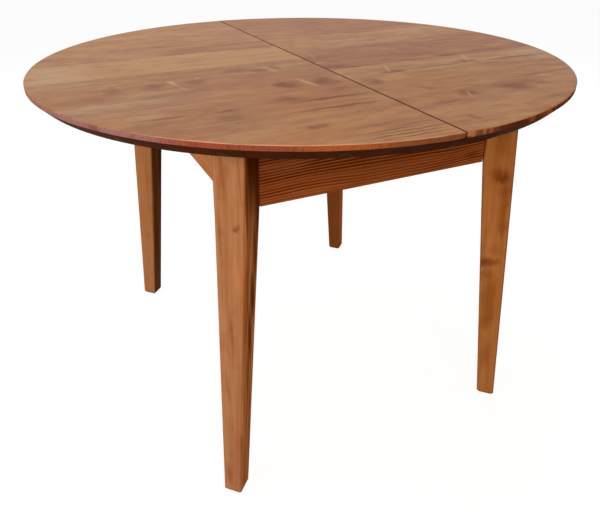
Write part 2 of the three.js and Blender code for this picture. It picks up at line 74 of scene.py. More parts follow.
WHITE = (1.0, 1.0, 1.0)
AMBIENT_LOW = 0.09               # strength of the room's light from below
AMBIENT_RANGE = 0.22             # what it gains towards the ceiling
AMBIENT_WARM = (1.0, 0.72, 0.52)  # its colour from below
SKY_START = -0.15                # sine of the height angle where it starts to whiten
SKY_FULL = 0.45
FLOOR_REACH = 14.0               # m from the middle to each side
FLOOR_DROP = 0.0005              # m, keeps the floor clear of the foot pads
FLOOR_BOUNCE = 0.06              # grey that throws light back at the table
FLOOR_SHADE = 0.12               # grey that shows the table's shadow to the camera
FLOOR_GLOW = 0.93                # white that the camera sees on top of that grey

# Lamps: place, target and size in metres, watts, colour, and whether reflections show it.
LAMPS = {
    "window": ((-3.2, -0.6, 0.95), (0.0, 0.0, 0.5), (2.4, 1.8), 64.0, WHITE, True),
    "room": ((-0.9, -2.7, 1.6), (0.0, 0.0, 0.5), (1.8, 1.1), 40.0, (1.0, 0.76, 0.59), True),
    "ceiling": ((-0.3, 1.1, 3.0), (0.0, 0.0, 0.7), (3.0, 3.0), 46.0, WHITE, True),
    "back": ((1.8, 3.0, 1.3), (0.0, 0.0, 0.4), (2.4, 1.6), 36.0, (1.0, 0.86, 0.74), False),
}


def make_camera():
    data = bpy.data.cameras.new("camera")
    data.lens = CAMERA_LENS
    data.sensor_width = SENSOR_WIDTH
    data.shift_x, data.shift_y = CAMERA_SHIFT
    data.clip_end = VIEW_REACH
    camera = bpy.data.objects.new("camera", data)
    bpy.context.scene.collection.objects.link(camera)
    turn = Matrix.Rotation(math.radians(CAMERA_AZIMUTH), 4, "Z")
    tilt = Matrix.Rotation(math.radians(90 + CAMERA_PITCH), 4, "X")
    roll = Matrix.Rotation(math.radians(CAMERA_ROLL), 4, "Z")
    camera.matrix_world = Matrix.Translation(CAMERA_PLACE) @ turn @ tilt @ roll
    bpy.context.scene.camera = camera


def area_light(name, place, target, size, watts, color, shines):
    data = bpy.data.lights.new(name, "AREA")
    data.shape = "RECTANGLE"
    data.size, data.size_y = size
    data.energy = watts
    data.color = color
    light = bpy.data.objects.new(name, data)
    light.location = place
    light.visible_glossy = shines
    light.rotation_euler = (Vector(target) - Vector(place)).to_track_quat("-Z", "Y").to_euler()
    bpy.context.scene.collection.objects.link(light)


def seen_directly(tree):
    """1 for camera, glossy and transmission rays, which see the white background."""
    path = tree.nodes.new("ShaderNodeLightPath")
    seen = Field(tree, path.outputs["Is Camera Ray"])
    for name in ("Is Glossy Ray", "Is Transmission Ray"):
        seen = seen.max(Field(tree, path.outputs[name]))
    return seen


def split_by_view(tree, lit, shown, output_type):
    """The camera and reflections get one shader, the light on the table comes from the other."""
    mix = tree.nodes.new("ShaderNodeMixShader")
    seen_directly(tree).to(mix.inputs[0])
    tree.links.new(lit.outputs[0], mix.inputs[1])
    tree.links.new(shown.outputs[0], mix.inputs[2])
    output = tree.nodes.new(output_type)
    tree.links.new(mix.outputs[0], output.inputs[0])


def make_world():
    world = bpy.data.worlds.new("studio")
    world.use_nodes = True
    tree = world.node_tree
    tree.nodes.clear()
    place = tree.nodes.new("ShaderNodeTexCoord")
    height = Field(tree, place.outputs["Generated"]).split()[2]
    sky = height.smooth(SKY_START, SKY_FULL)
    ambient = tree.nodes.new("ShaderNodeBackground")
    blend(tree, sky, AMBIENT_WARM, WHITE).to(ambient.inputs["Color"])
    (sky * AMBIENT_RANGE + AMBIENT_LOW).to(ambient.inputs["Strength"])
    white = tree.nodes.new("ShaderNodeBackground")
    white.inputs["Color"].default_value = (*WHITE, 1)
    white.inputs["Strength"].default_value = 1.0
    split_by_view(tree, ambient, white, "ShaderNodeOutputWorld")
    bpy.context.scene.world = world


def dull_grey(tree, level):
    node = tree.nodes.new("ShaderNodeBsdfDiffuse")
    node.inputs["Color"].default_value = (level, level, level, 1)
    return node


def floor_material():
    material = bpy.data.materials.new("floor")
    material.use_nodes = True
    tree = material.node_tree
    tree.nodes.clear()
    glow = tree.nodes.new("ShaderNodeEmission")
    glow.inputs["Strength"].default_value = FLOOR_GLOW
    pale = tree.nodes.new("ShaderNodeAddShader")
    tree.links.new(dull_grey(tree, FLOOR_SHADE).outputs[0], pale.inputs[0])
    tree.links.new(glow.outputs[0], pale.inputs[1])
    split_by_view(tree, dull_grey(tree, FLOOR_BOUNCE), pale, "ShaderNodeOutputMaterial")
    return material


def make_floor():
    mesh = bpy.data.meshes.new("floor")
    signs = ((-1, -1), (1, -1), (1, 1), (-1, 1))
    corners = [(x * FLOOR_REACH, y * FLOOR_REACH, 0) for x, y in signs]
    mesh.from_pydata(corners, [], [(0, 1, 2, 3)])
    mesh.materials.append(floor_material())
    floor = bpy.data.objects.new("floor", mesh)
    floor.location.z = -FLOOR_DROP
    bpy.context.scene.collection.objects.link(floor)


# ---------------------------------------------------------------- node arithmetic


class Field:
    """A value or vector at a node's output: arithmetic on it adds nodes to the tree."""

    def __init__(self, tree, socket):
        self.tree = tree
        self.socket = socket

    def to(self, socket):
        self.tree.links.new(self.socket, socket)

    def math(self, operation, *others):
        node = self.tree.nodes.new("ShaderNodeMath")
        node.operation = operation
        for index, value in enumerate((self, *others)):
            if isinstance(value, Field):
                value.to(node.inputs[index])
            else:
                node.inputs[index].default_value = value
        return Field(self.tree, node.outputs[0])

    def __add__(self, other):
        return self.math("ADD", other)

    def __sub__(self, other):
        return self.math("SUBTRACT", other)

    def __mul__(self, other):
        return self.math("MULTIPLY", other)

    def __truediv__(self, other):
        return self.math("DIVIDE", other)

    def max(self, other):
        return self.math("MAXIMUM", other)

    def clamp(self):
        return self.math("MAXIMUM", 0.0).math("MINIMUM", 1.0)

    def floor(self):
        return self.math("FLOOR")

    def fract(self):
        return self.math("FRACT")

    def smooth(self, low, high):
        """0 below low, 1 above high, smooth between; low may be the larger one."""
        node = self.tree.nodes.new("ShaderNodeMapRange")
        node.interpolation_type = "SMOOTHSTEP"
        self.to(node.inputs["Value"])
        node.inputs["From Min"].default_value = low
        node.inputs["From Max"].default_value = high
        return Field(self.tree, node.outputs["Result"])

    def split(self):
        node = self.tree.nodes.new("ShaderNodeSeparateXYZ")
        self.to(node.inputs[0])
        return [Field(self.tree, output) for output in node.outputs]


def vector(tree, *values):
    node = tree.nodes.new("ShaderNodeCombineXYZ")
    for index, value in enumerate(values):
        if isinstance(value, Field):
            value.to(node.inputs[index])
        else:
            node.inputs[index].default_value = value
    return Field(tree, node.outputs[0])


def noise(place, detail=2.0, roughness=0.5):
    """Noise from 0 to 1 with one bump per unit of place."""
    node = place.tree.nodes.new("ShaderNodeTexNoise")
    place.to(node.inputs["Vector"])
    node.inputs["Scale"].default_value = 1.0
    node.inputs["Detail"].default_value = detail
    node.inputs["Roughness"].default_value = roughness
    return Field(place.tree, node.outputs[0])


def chance(value):
    """A fixed random number from 0 to 1 for each whole number."""
    node = value.tree.nodes.new("ShaderNodeTexWhiteNoise")
    node.noise_dimensions = "1D"
    value.to(node.inputs["W"])
    return Field(value.tree, node.outputs["Value"])


def length(a, b):
    return (a * a + b * b).math("SQRT")


def blend(tree, amount, low, high):
    """Mixes two colours, each a tuple or a Field, by an amount from 0 to 1."""
    node = tree.nodes.new("ShaderNodeMix")
    node.data_type = "RGBA"
    for socket, value in ((node.inputs[0], amount), (node.inputs[6], low), (node.inputs[7], high)):
        if isinstance(value, Field):
            value.to(socket)
        else:
            socket.default_value = (*value, 1) if isinstance(value, tuple) else value
    return Field(tree, node.outputs[2])


def ellipse(place, centre, size, lean=0.0, core=0.0):
    """1 in the core of an ellipse in s and t, falling smoothly to 0 at its rim; mm.

    The core is a share of the ellipse's size; lean slants it along s for each mm of t.
    """
    s, t = place[0] - centre[0], place[1] - centre[1]
    if lean:
        s = s - t * lean
    return length(s / size[0], t / size[1]).smooth(1, core)


# ---------------------------------------------------------------- stained pine

PALE = (0.54, 0.225, 0.095)
WARM = (0.46, 0.165, 0.058)
GOLD = (0.47, 0.158, 0.038)
DARK = (0.25, 0.068, 0.014)
DEEP = (0.11, 0.020, 0.003)

TOP_COAT = 0.16                  # varnish left on the faces of the top and the leaf
BEECH_COAT = 0.05
COAT_ROUGHNESS = 0.34
COAT_IOR = 1.45
COATED = (0.02, 1.5)             # specular level and IOR of the wood under a coat
BARE = (0.005, 1.2)              # and of bare wood
GRAIN_BUMP = 0.35
GRAIN_DEPTH = 0.0004             # m
DIAGONAL = math.sqrt(0.5)
RING_TREMOR = 1.6                # mm
KNOT_SWELL = 7.0                 # mm the rings give way beside a knot


def new_material(name):
    material = bpy.data.materials.new(name)
    material.use_nodes = True
    tree = material.node_tree
    return material, tree, tree.nodes["Principled BSDF"]


def object_place(tree):
    """Object coordinates in mm, as three fields."""
    node = tree.nodes.new("ShaderNodeTexCoord")
    return [part * PER_METRE for part in Field(tree, node.outputs["Object"]).split()]


def object_normal(tree):
    node = tree.nodes.new("ShaderNodeTexCoord")
    return Field(tree, node.outputs["Normal"]).split()


def scaled(tree, place, s, t, u, shift=0.0):
    """The place divided by a size along, across and through the grain, moved by a shift."""
    return vector(tree, place[0] / s + shift, place[1] / t + shift, place[2] / u - shift)


def growth_rings(tree, place, pith, spacing, wander, seed, bulge=None):
    """Latewood lines of the rings round a pith at (t, u): 0 early wood, 1 at the late edge."""
    radius = length(place[1] - pith[0], place[2] - pith[1])
    drift = noise(scaled(tree, place, 260, 70, 70, seed), 1.0) - 0.5
    tremor = noise(scaled(tree, place, 60, 9, 9, seed + 7), 1.0) - 0.5
    radius = radius + drift * wander + tremor * RING_TREMOR
    if bulge is not None:
        radius = radius + bulge * KNOT_SWELL
    year = radius / spacing
    phase = year.fract()
    late = phase.smooth(0.20, 0.70) * phase.smooth(1.0, 0.88)
    return late * (chance(year.floor() + seed) * 0.65 + 0.45)


def fibre(tree, place, seed):
    """Fine streaks of the fibre along the grain, 0 to 1."""
    return noise(scaled(tree, place, 45, 0.9, 0.9, seed), 2.0, 0.6)


def streaks(tree, place, s, t, seed, low=0.35, high=0.65):
    """Soft stain streaks of length s and width t."""
    return noise(scaled(tree, place, s, t, t, seed), 2.5, 0.55).smooth(low, high)


def finish_wood(tree, shader, colour, relief, roughness, coat=0.0):
    """Wires the colour and relief; bare wood without a coat has hardly any gloss."""
    colour.to(shader.inputs["Base Color"])
    roughness.to(shader.inputs["Roughness"])
    specular, ior = COATED if coat else BARE
    shader.inputs["Specular IOR Level"].default_value = specular
    shader.inputs["IOR"].default_value = ior
    shader.inputs["Coat Weight"].default_value = coat
    shader.inputs["Coat Roughness"].default_value = COAT_ROUGHNESS
    shader.inputs["Coat IOR"].default_value = COAT_IOR
    bump = tree.nodes.new("ShaderNodeBump")
    bump.inputs["Strength"].default_value = GRAIN_BUMP
    bump.inputs["Distance"].default_value = GRAIN_DEPTH
    relief.to(bump.inputs["Height"])
    tree.links.new(bump.outputs[0], shader.inputs["Normal"])


def along(tree, axis):
    """Object coordinates in mm, the one along the grain first."""
    x, y, z = object_place(tree)
    return {"X": [x, z, y], "Y": [y, z, x], "Z": [z, x, y]}[axis]


def marked(tree, place, colour, marks):
    """Lays knots, blotches and pale flashes on a piece, and on some pieces painted shade.

    Each mark is s, t, half length, half width, lean, strength, colour.
    """
    for s, t, half_s, half_t, lean, strength, tint in marks:
        spot = ellipse(place, (s, t), (half_s, half_t), lean, 0.2) * strength
        colour = blend(tree, spot, colour, tint)
    return colour


BOARD_WANDER = 16.0              # mm the rings of an apron or rail wander
BAND_BLUR = 14                   # mm


def board_pine(name, axis, pith, spacing, contrast, seed, tones, marks=(), band=None):
    """Flat-sawn pine of an apron or rail: dark growth lines run along one axis.

    The strongest lines stay in a band (low, high) of the board, where it is given.
    """
    material, tree, shader = new_material(name)
    place = along(tree, axis)
    late = growth_rings(tree, place, pith, spacing, BOARD_WANDER, seed)
    if band is not None:
        low, high = band
        above = place[1].smooth(low - BAND_BLUR, low + BAND_BLUR)
        below = place[1].smooth(high + BAND_BLUR, high - BAND_BLUR)
        late = late * (above * below * 0.26 + 0.76)
    broad = streaks(tree, place, 170, 16, seed + 3)
    cloud = streaks(tree, place, 90, 34, seed + 5, 0.4, 0.75)
    thread = fibre(tree, place, seed + 9)
    colour = blend(tree, broad, *tones)
    colour = blend(tree, cloud * 0.35, colour, DARK)
    colour = blend(tree, (late * contrast + (thread - 0.5) * 0.40).clamp(), colour, DEEP)
    colour = marked(tree, place, colour, marks)
    finish_wood(tree, shader, colour, late * 0.7 + thread * 0.5, thread * 0.12 + 0.46)
    return material


LEG_KNEE = 618.0                 # mm, below it the leg splays
LEG_SPLAY = (0.078, 0.061)       # outward for each mm of height lost, along X and Y


def splayed(height, x, y, corner):
    """A leg's place, sheared so that its grain follows the splay below the knee."""
    sign_x = 1 if corner.endswith("right") else -1
    sign_y = 1 if corner.startswith("back") else -1
    below = height.math("MINIMUM", LEG_KNEE)
    return [height, x + below * (sign_x * LEG_SPLAY[0]), y + below * (sign_y * LEG_SPLAY[1])]


def leg_pine(corner, look):
    """Straight-grained pine of one leg: fine streaks along its splay, bolder on its flanks. Face
    and flank get tones of their own, which carry painted light and shade as well as the wood's
    colour.
    """
    material, tree, shader = new_material("pine_leg_" + corner)
    height, x, y = along(tree, "Z")
    place = splayed(height, x, y, corner)
    seed = look["seed"]
    hair = noise(scaled(tree, place, 260, 2.4, 2.4, seed), 2.0, 0.6)
    stripe = streaks(tree, place, 420, 6.5, seed + 2, 0.30, 0.70)
    broad = streaks(tree, place, 330, 19, seed + 4, 0.32, 0.68)
    cloud = streaks(tree, place, 46, 30, seed + 6, 0.50, 0.78)
    band = noise(scaled(tree, place, 9, 60, 60, seed + 8), 2.0, 0.6)
    bold = streaks(tree, place, 300, 9, seed + 10, 0.36, 0.62)
    stray = noise(scaled(tree, place, 34, 9, 9, seed + 12), 3.0, 0.6) - 0.5
    rise = height + stray * 22

    face = blend(tree, (stripe * 0.45 + broad * 0.55).clamp(), *look["face"])
    stain = (hair - 0.45) * 0.8 + cloud * 0.3 + (band - 0.5) * 0.16
    face = blend(tree, stain.clamp(), face, DARK)
    face = marked(tree, (rise, x + stray * 4), face, look["face_marks"])

    flank = blend(tree, (bold * 0.8 + stripe * 0.2).clamp(), *look["flank"])
    flank = blend(tree, (hair - 0.42).clamp() * 1.2, flank, DEEP)
    across = (x + y) * DIAGONAL + stray * 5
    flank = marked(tree, (rise, across), flank, look.get("flank_marks_and_shade", ()))

    normal = object_normal(tree)
    # Face or flank by the normal's direction: the two tones are lit and shaded copies of the wood,
    # painted light and shade.
    turned = ((normal[0] - normal[1]) * DIAGONAL).math("ABSOLUTE").smooth(0.55, 0.92)
    colour = blend(tree, turned, face, flank)
    finish_wood(tree, shader, colour, hair * 0.8, hair * 0.12 + 0.44)
    return material


# Each leg stands on its corner's diagonal: the tones of its faces and flanks, which also hold
# painted
# light and shade, and its marks: height, x or distance across the flank, half height, half width,
# lean, strength, colour.
LEG_LOOKS = {
    "front_left": {
        "seed": 23.0,
        "face": ((0.465, 0.221, 0.103), (0.365, 0.149, 0.060)),
        # The flank's tones are lifted well above the face's: painted light.
        "flank": ((0.92, 0.390, 0.118), (0.52, 0.165, 0.048)),
        "face_marks": (
            (580, -288, 9, 8, 0.0, 0.50, DARK), (577, -288, 5, 6, 0.0, 0.40, DEEP),
            (600, -292, 22, 3, 0.0, 0.15, DARK), (650, -300, 60, 7, 0.0, 0.30, DARK),
            (250, -292, 90, 3.5, 0.0, 0.35, DARK), (160, -300, 60, 3.5, 0.0, 0.40, DEEP),
            (120, -310, 260, 50, 0.0, 0.16, DARK), (620, -273, 90, 4, 0.0, 0.60, GOLD),
            (460, -287, 90, 4, 0.0, 0.50, GOLD), (660, -278, 70, 2, 0.0, 0.25, DEEP),
            (380, -308, 62, 4, 0.0, 0.45, DARK), (490, -293, 60, 6, 0.0, 0.45, PALE),
            (670, -299, 50, 4, 0.0, 0.40, DARK), (50, -336, 40, 6, 0.0, 0.45, DARK),
            (260, -322, 60, 5, 0.0, 0.35, DARK), (230, -302, 60, 3, 0.0, 0.45, DARK),
            (120, -312, 60, 4, 0.0, 0.45, DARK), (560, -310, 90, 4, 0.0, 0.30, DARK),
        ),
        "flank_marks_and_shade": (
            # The deep marks darken the flank most at its top and less towards the foot: painted
            # shade under the apron and top. The pale ones are the wood's figure.
            (700, -434, 170, 70, 0.0, 0.96, DEEP), (620, -462, 110, 6, 0.0, 0.60, DEEP),
            (575, -450, 36, 5, -1.2, 0.60, PALE), (530, -443, 50, 4, 0.0, 0.40, PALE),
            (600, -420, 110, 18, 0.0, 0.80, DEEP), (520, -434, 80, 12, 0.0, 0.75, DEEP),
            (440, -447, 80, 14, 0.0, 0.85, DEEP), (360, -461, 80, 12, 0.0, 0.75, DEEP),
            (280, -476, 80, 9, 0.0, 0.30, DEEP), (200, -490, 80, 8, 0.0, 0.22, DEEP),
            (450, -466, 90, 5, 0.0, 0.35, DEEP), (330, -474, 90, 5, 0.0, 0.20, DEEP),
            (120, -504, 70, 6, 0.0, 0.20, DEEP), (50, -514, 50, 6, 0.0, 0.20, DEEP),
        ),
    },
    "front_right": {
        "seed": 33.0,
        "face": ((0.51, 0.222, 0.060), (0.42, 0.146, 0.036)),
        "flank": ((0.40, 0.150, 0.045), (0.34, 0.105, 0.028)),
        "face_marks": (
            (600, 262, 220, 60, 0.0, 0.14, DARK), (568, 260, 24, 19, 0.0, 0.90, DARK),
            (560, 264, 14, 14, 0.0, 0.45, DEEP), (536, 270, 26, 11, 0.0, 0.72, DARK),
            (497, 273, 50, 9, 0.0, 0.60, DARK), (455, 277, 30, 10, 0.0, 0.66, DARK),
            (370, 269, 15, 22, 0.0, 0.85, DARK), (362, 262, 14, 13, 0.0, 0.50, DEEP),
            (352, 256, 5, 4.5, 0.0, 0.95, DEEP), (350, 262, 6, 2.6, 0.4, 0.85, PALE),
            (345, 257, 2.6, 6, 0.0, 0.70, PALE), (338, 270, 28, 14, 0.0, 0.60, DARK),
            (290, 279, 64, 16, 0.0, 0.66, DARK), (236, 284, 48, 14, 0.0, 0.60, DARK),
            (208, 283, 30, 14, 0.0, 0.42, DARK), (645, 254, 60, 12, 0.0, 0.40, DARK),
            (118, 294, 60, 12, 0.0, 0.40, DARK), (420, 258, 60, 6, 0.0, 0.30, DARK),
            (660, 278, 70, 8, 0.0, 0.45, GOLD), (480, 248, 90, 7, 0.0, 0.45, GOLD),
        ),
    },
    "back_left": {
        "seed": 43.0,
        "face": ((0.48, 0.205, 0.085), (0.38, 0.148, 0.050)),
        "flank": ((0.42, 0.170, 0.060), (0.23, 0.080, 0.026)),
        "face_marks": (
            (540, -292, 12, 4, 0.0, 0.85, DEEP), (532, -299, 8, 16, 0.0, 0.35, DARK),
            (552, -299, 5, 16, 0.0, 0.35, PALE), (500, -303, 18, 14, 0.0, 0.30, DARK),
        ),
    },
    "back_right": {
        "seed": 53.0,
        # A dark face, painted shade, and a bright flank, painted light.
        "face": ((0.27, 0.082, 0.022), (0.22, 0.060, 0.014)),
        "flank": ((0.94, 0.275, 0.060), (0.73, 0.185, 0.042)),
        "face_marks": (
            (560, 262, 60, 6, 0.0, 0.50, DEEP), (380, 270, 60, 5, 0.0, 0.35, DEEP),
            (480, 275, 60, 8, 0.0, 0.35, WARM), (290, 285, 60, 8, 0.0, 0.30, WARM),
        ),
    },
}


# Boards of each half from the front (y low) to the back: front joint y, tone, redness, pith y.
BOARDS = {
    "left": (
        (-560, 0.22, 0.35, -640),
        (-418, 0.36, 0.42, -395),
        (-250, 0.40, 0.50, -180),
        (-98, 0.42, 0.38, -30),
        (-14, 0.12, 0.05, 90),
        (130, 0.36, 0.62, 190),
        (208, 0.28, 0.35, 330),
        (350, 0.30, 0.28, 480),
    ),
    "right": (
        (-560, 0.28, 0.38, -470),
        (-420, 0.34, 0.42, -330),
        (-272, 0.34, 0.28, -240),
        (-200, 0.30, 0.22, -160),
        (-132, 0.48, 0.66, -40),
        (62, 0.30, 0.32, 120),
        (206, 0.42, 0.60, 300),
        (352, 0.46, 0.62, 380),
    ),
    "leaf": (
        (-560, 0.30, 0.40, -300),
        (-180, 0.38, 0.50, -120),
        (-40, 0.30, 0.35, 20),
        (90, 0.40, 0.55, 150),
        (200, 0.32, 0.40, 260),
    ),
}
# Dark stained places of each half: x, y, half length, half width in mm, strength.
SMUDGES = {
    "left": (
        (-118, -206, 34, 42, 0.85), (-50, -208, 34, 42, 0.80), (-60, -172, 30, 14, 0.40),
        (-168, -62, 66, 28, 0.50), (-128, -82, 26, 26, 0.60), (-82, -70, 22, 30, 0.45),
        (-262, -118, 38, 30, 0.55), (-340, -116, 34, 32, 0.55), (-412, -118, 22, 46, 0.42),
        (-150, -290, 34, 26, 0.60), (-240, -152, 50, 10, 0.25), (-44, -268, 18, 16, 0.40),
        (-360, -308, 60, 8, 0.60), (-268, -310, 40, 10, 0.80), (-90, -314, 110, 9, 0.90),
        (-100, -364, 120, 9, 0.75), (-272, -346, 40, 26, 0.40), (-400, -336, 60, 20, 0.35),
        (-82, -400, 3, 6, 0.90), (-176, -440, 22, 16, 0.60), (-110, -470, 60, 10, 0.35),
        (-60, -342, 60, 8, 0.40), (-90, -496, 110, 4, 0.55), (-60, -507, 110, 4, 0.72),
        (-80, -518, 110, 4, 0.72), (-56, -529, 80, 3.5, 0.75), (-40, -484, 70, 4, 0.60),
        (-466, 112, 26, 7, 0.30), (-120, 188, 70, 18, 0.34),
        (-220, 230, 110, 14, 0.22), (-40, 126, 34, 26, 0.22), (-300, -36, 240, 8, 0.30),
        (-60, 62, 50, 10, 0.18), (-16, -310, 16, 6, 0.40), (-260, 300, 90, 18, 0.16),
    ),
    "right": (
        (60, -134, 90, 9, 0.80), (190, -130, 110, 9, 0.66), (296, -124, 46, 13, 0.85),
        (24, -114, 36, 26, 0.60), (106, -202, 34, 16, 0.75), (290, -190, 50, 18, 0.75),
        (200, -200, 130, 11, 0.55), (420, -200, 120, 11, 0.65), (430, -124, 28, 10, 0.60),
        (30, -256, 34, 38, 0.60), (134, -386, 28, 24, 0.60), (240, -392, 46, 40, 0.75),
        (278, -372, 50, 14, 0.45), (70, -416, 60, 10, 0.45), (100, 16, 90, 34, 0.26),
        (296, 40, 34, 13, 0.35), (400, 24, 60, 18, 0.35), (304, 240, 44, 24, 0.40),
        (304, 360, 30, 20, 0.55), (228, 396, 40, 18, 0.35), (330, -336, 120, 8, 0.55),
        (410, -330, 70, 12, 0.40), (60, -496, 22, 22, 0.50), (300, -392, 26, 16, 0.30),
        (90, -330, 16, 24, 0.40), (190, -290, 60, 10, 0.20), (330, -226, 30, 12, 0.40),
        (460, -60, 60, 16, 0.30), (60, -30, 110, 24, 0.22), (270, 200, 60, 14, 0.25),
    ),
    "leaf": (
        (-92, -62, 40, 34, 0.65), (-20, -66, 36, 30, 0.60), (120, 130, 60, 9, 0.50),
        (-140, 212, 90, 9, 0.50), (60, -150, 70, 7, 0.50), (96, 30, 24, 22, 0.50),
    ),
}
# Pale marks, most of them across the grain where a knot turned it: x, y, half size along x,
# half size along y, lean, strength.
GHOSTS = {
    "left": (
        (-80, -206, 8, 46, -0.22, 0.60), (-102, -80, 7, 46, -0.16, 0.36),
        (-304, -104, 8, 26, -0.14, 0.75), (-296, -150, 7, 30, -0.14, 0.25),
        (-252, -88, 6, 12, 0.0, 0.40), (-296, -322, 26, 10, 0.40, 0.30),
        (-440, 0, 90, 6, 0.0, 0.60), (-300, -10, 160, 7, 0.0, 0.60),
        (-130, -20, 120, 5, 0.0, 0.40), (-330, 60, 120, 24, 0.0, 0.30),
        (-120, 90, 110, 16, 0.0, 0.30), (-216, 340, 46, 30, 0.0, 0.35),
        (-360, 372, 30, 16, 0.0, 0.30), (-270, -510, 150, 10, 0.0, 0.50),
        (-210, 420, 60, 40, 0.0, 0.30),
    ),
    "right": (
        (110, -176, 6, 40, 0.43, 0.40), (310, -170, 7, 50, 0.50, 0.36),
        (276, -190, 5, 36, 0.15, 0.20), (12, -74, 24, 12, 0.0, 0.85),
        (30, 58, 40, 6, 0.0, 0.50), (14, 160, 14, 9, 0.0, 0.60),
        (134, -392, 5, 22, 0.50, 0.40), (240, -264, 18, 9, 0.0, 0.35),
        (26, -14, 6, 40, 0.25, 0.25), (180, -162, 110, 12, 0.0, 0.35),
        (420, -160, 90, 20, 0.0, 0.30), (440, 200, 60, 24, 0.0, 0.25),
        (340, -90, 60, 24, 0.0, 0.30), (200, -50, 80, 10, 0.0, 0.20),
        (120, -520, 60, 8, 0.0, 0.40),
    ),
    "leaf": (
        (-56, -62, 8, 36, -0.2, 0.50), (70, 34, 6, 24, 0.3, 0.35), (0, 150, 120, 12, 0.0, 0.35),
    ),
}
# Broad places where the stain reads warmer, or where the finish is worn and a pale sheen is
# painted on:
# x, y, half length, half width, strength, colour.
# Worn finish together with a painted sheen of reflected light.
WEAR_AND_SHEEN_TONE = (0.52, 0.37, 0.26)
GOLD_TONE = (0.382, 0.146, 0.033)
ROSE_TONE = (0.335, 0.106, 0.046)
SHADES = {
    "left": (
        (-110, -300, 230, 190, 0.55, GOLD_TONE), (-130, -150, 260, 70, 0.40, ROSE_TONE),
        (-500, 40, 130, 200, 0.32, WEAR_AND_SHEEN_TONE), (-470, -226, 90, 60, 0.42, WEAR_AND_SHEEN_TONE),
        (-390, -290, 60, 22, 0.30, WEAR_AND_SHEEN_TONE), (-360, -210, 140, 90, 0.22, WEAR_AND_SHEEN_TONE),
        (-330, 190, 160, 50, 0.20, WEAR_AND_SHEEN_TONE), (-200, -470, 180, 60, 0.40, GOLD_TONE),
        (-60, -250, 70, 60, 0.30, ROSE_TONE),
    ),
    "right": (
        (150, -270, 200, 90, 0.60, GOLD_TONE), (90, -370, 120, 60, 0.45, GOLD_TONE),
        (180, -60, 220, 60, 0.35, ROSE_TONE), (260, -360, 120, 50, 0.35, ROSE_TONE),
        (480, -180, 90, 80, 0.28, WEAR_AND_SHEEN_TONE), (420, 180, 150, 70, 0.20, WEAR_AND_SHEEN_TONE),
        (200, 330, 200, 90, 0.25, ROSE_TONE), (150, 70, 180, 30, 0.22, WEAR_AND_SHEEN_TONE),
    ),
    "leaf": ((0, 0, 210, 120, 0.40, GOLD_TONE), (40, -200, 200, 90, 0.30, ROSE_TONE)),
}
TOP_PALE = (0.425, 0.222, 0.086)
TOP_WARM = (0.338, 0.130, 0.054)
TOP_DARK = (0.165, 0.051, 0.019)
SMUDGE = (0.150, 0.040, 0.014)
FLASH = (0.58, 0.34, 0.18)
# painted sheen on the rim far from the seam
END_SHEEN = (0.355, 0.172, 0.162)
END_RED = (0.33, 0.082, 0.046)
END_DARK = (0.10, 0.018, 0.007)
END_ORANGE = (0.44, 0.130, 0.033)
END_BROWN = (0.28, 0.100, 0.040)
END_PALE = (0.62, 0.27, 0.105)
# painted highlight along the top's front arris
ARRIS_HIGHLIGHT = (0.68, 0.39, 0.23)
# the bevel under the rim: its stain darkened further with painted shade
BEVEL_STAIN_AND_SHADE = (0.066, 0.0145, 0.0044)
BEVEL_STAIN_AND_SHADE_MOTTLE = (0.092, 0.0270, 0.0120)
UNDERSIDE = (0.26, 0.092, 0.036)
# painted shade of the seam's gap, with some dirt on its edges
SEAM_SHADE_AND_DIRT = (0.075, 0.008, 0.001)

# Tones laid over END_RED on the rim, by distance from the seam: tone, where it starts, where full;
# the grey one far from the seam is a painted sheen.
RIM_TONES = ((END_SHEEN, 350, 430), (END_ORANGE, 255, 190), (END_BROWN, 150, 90))

TOP_RADIUS = 550.0
TOP_HEIGHT = 750.0
TOP_PITH = (0.0, 665.0)          # where a board's tree had its pith: on the board's line, height
TOP_SEEDS = {"left": 3.0, "right": 31.0, "leaf": 57.0}
BOARD_SHIFT = 317.0              # the grain of each board starts this much further on
NARROW_GHOST = 10                # a pale mark narrower than this has a knot beside it
# Strength of the painted highlight on each half's front arris; only these halves get edged.
ARRIS_HIGHLIGHT_STRENGTH = {"left": 0.55, "right": 0.15}
FACE_LIP = 2.6                   # from the seam's middle to where its painted shade ends on the face
RIM_LIP = 1.8                    # and on the rim
LIP_BLUR = 1.1
GAP_SHADE_FADE = (TOP_HEIGHT - 4.0, TOP_HEIGHT - 2.8)  # height from which the seam's mating faces are painted dark, painted shade in the gap
# Dark blots on the right half's rim beside the seam: x of the middle, half width.
RIM_BLOTS = ((24, 12), (39, 6), (54, 7), (76, 9), (101, 12))


def stepped(field, starts, values):
    """The value of the last start that the field has passed."""
    total = None
    for start, value, before in zip(starts[1:], values[1:], values[:-1]):
        part = field.math("GREATER_THAN", start) * (value - before)
        total = part if total is None else total + part
    return total + values[0]


def knot_bulge(place, half):
    """Swells the rings beside the narrow pale marks, where a knot lies in the board."""
    bulge = None
    for x, y, half_x, half_y, lean, strength in GHOSTS[half]:
        if half_x < NARROW_GHOST:
            spot = ellipse(place, (x, y), (half_x * 4, half_y * 0.9), lean) * strength
            bulge = spot if bulge is None else bulge + spot
    return bulge


